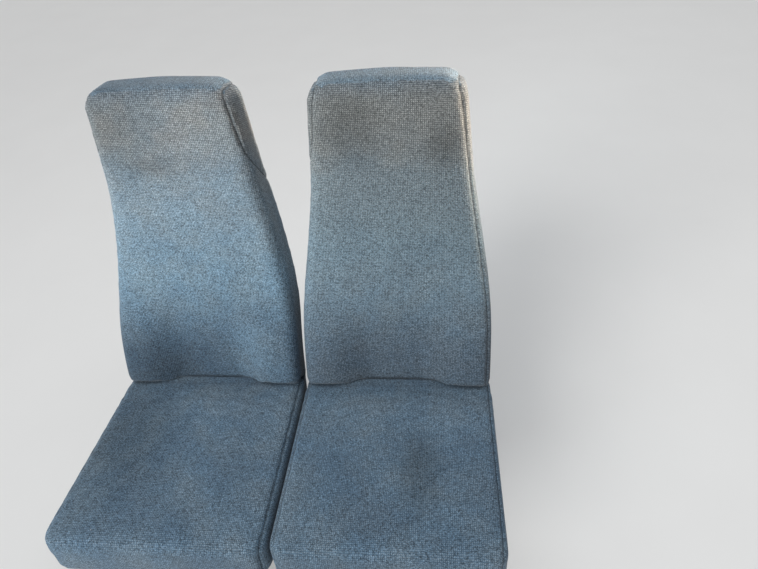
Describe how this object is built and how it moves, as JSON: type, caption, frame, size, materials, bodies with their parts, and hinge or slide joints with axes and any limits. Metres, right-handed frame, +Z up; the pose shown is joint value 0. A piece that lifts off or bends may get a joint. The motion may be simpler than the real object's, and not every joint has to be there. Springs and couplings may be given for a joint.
{
  "type": "minibus passenger seat",
  "caption": "High-back upholstered minibus passenger seat for two people side by side, on a floor-bolted steel frame with pedestal legs.",
  "frame": {"origin": "on the floor, at the middle of the four floor bolt holes", "axes": "+X across the seats, to the sitter's left; +Y towards the rear of the seats; +Z up"},
  "size_m": [0.884, 0.7061, 1.0666],
  "materials": {
    "seat_fabric": "woven slate blue cloth with a small off-white dot in a square grid",
    "back_panel": "grained dark grey panel",
    "frame_steel": "satin black powder coat",
    "plug_plastic": "black moulded plastic"
  },
  "bodies": {
    "root": {"seat_cushion_left": "seat_fabric", "seat_cushion_right": "seat_fabric", "seat_back_left": "seat_fabric", "seat_back_right": "seat_fabric", "back_panel_left": "back_panel", "back_panel_right": "back_panel", "cushion_pan_left": "frame_steel", "cushion_pan_right": "frame_steel", "back_plate_left_left": "frame_steel", "back_plate_left_right": "frame_steel", "back_plate_right_left": "frame_steel", "back_plate_right_right": "frame_steel", "front_cross_tube": "frame_steel", "rear_cross_tube": "frame_steel", "tube_plugs": "plug_plastic", "saddle_left": "frame_steel", "saddle_right": "frame_steel", "leg_left": "frame_steel", "leg_right": "frame_steel", "foot_left": "frame_steel", "foot_right": "frame_steel"}
  },
  "joints": []
}
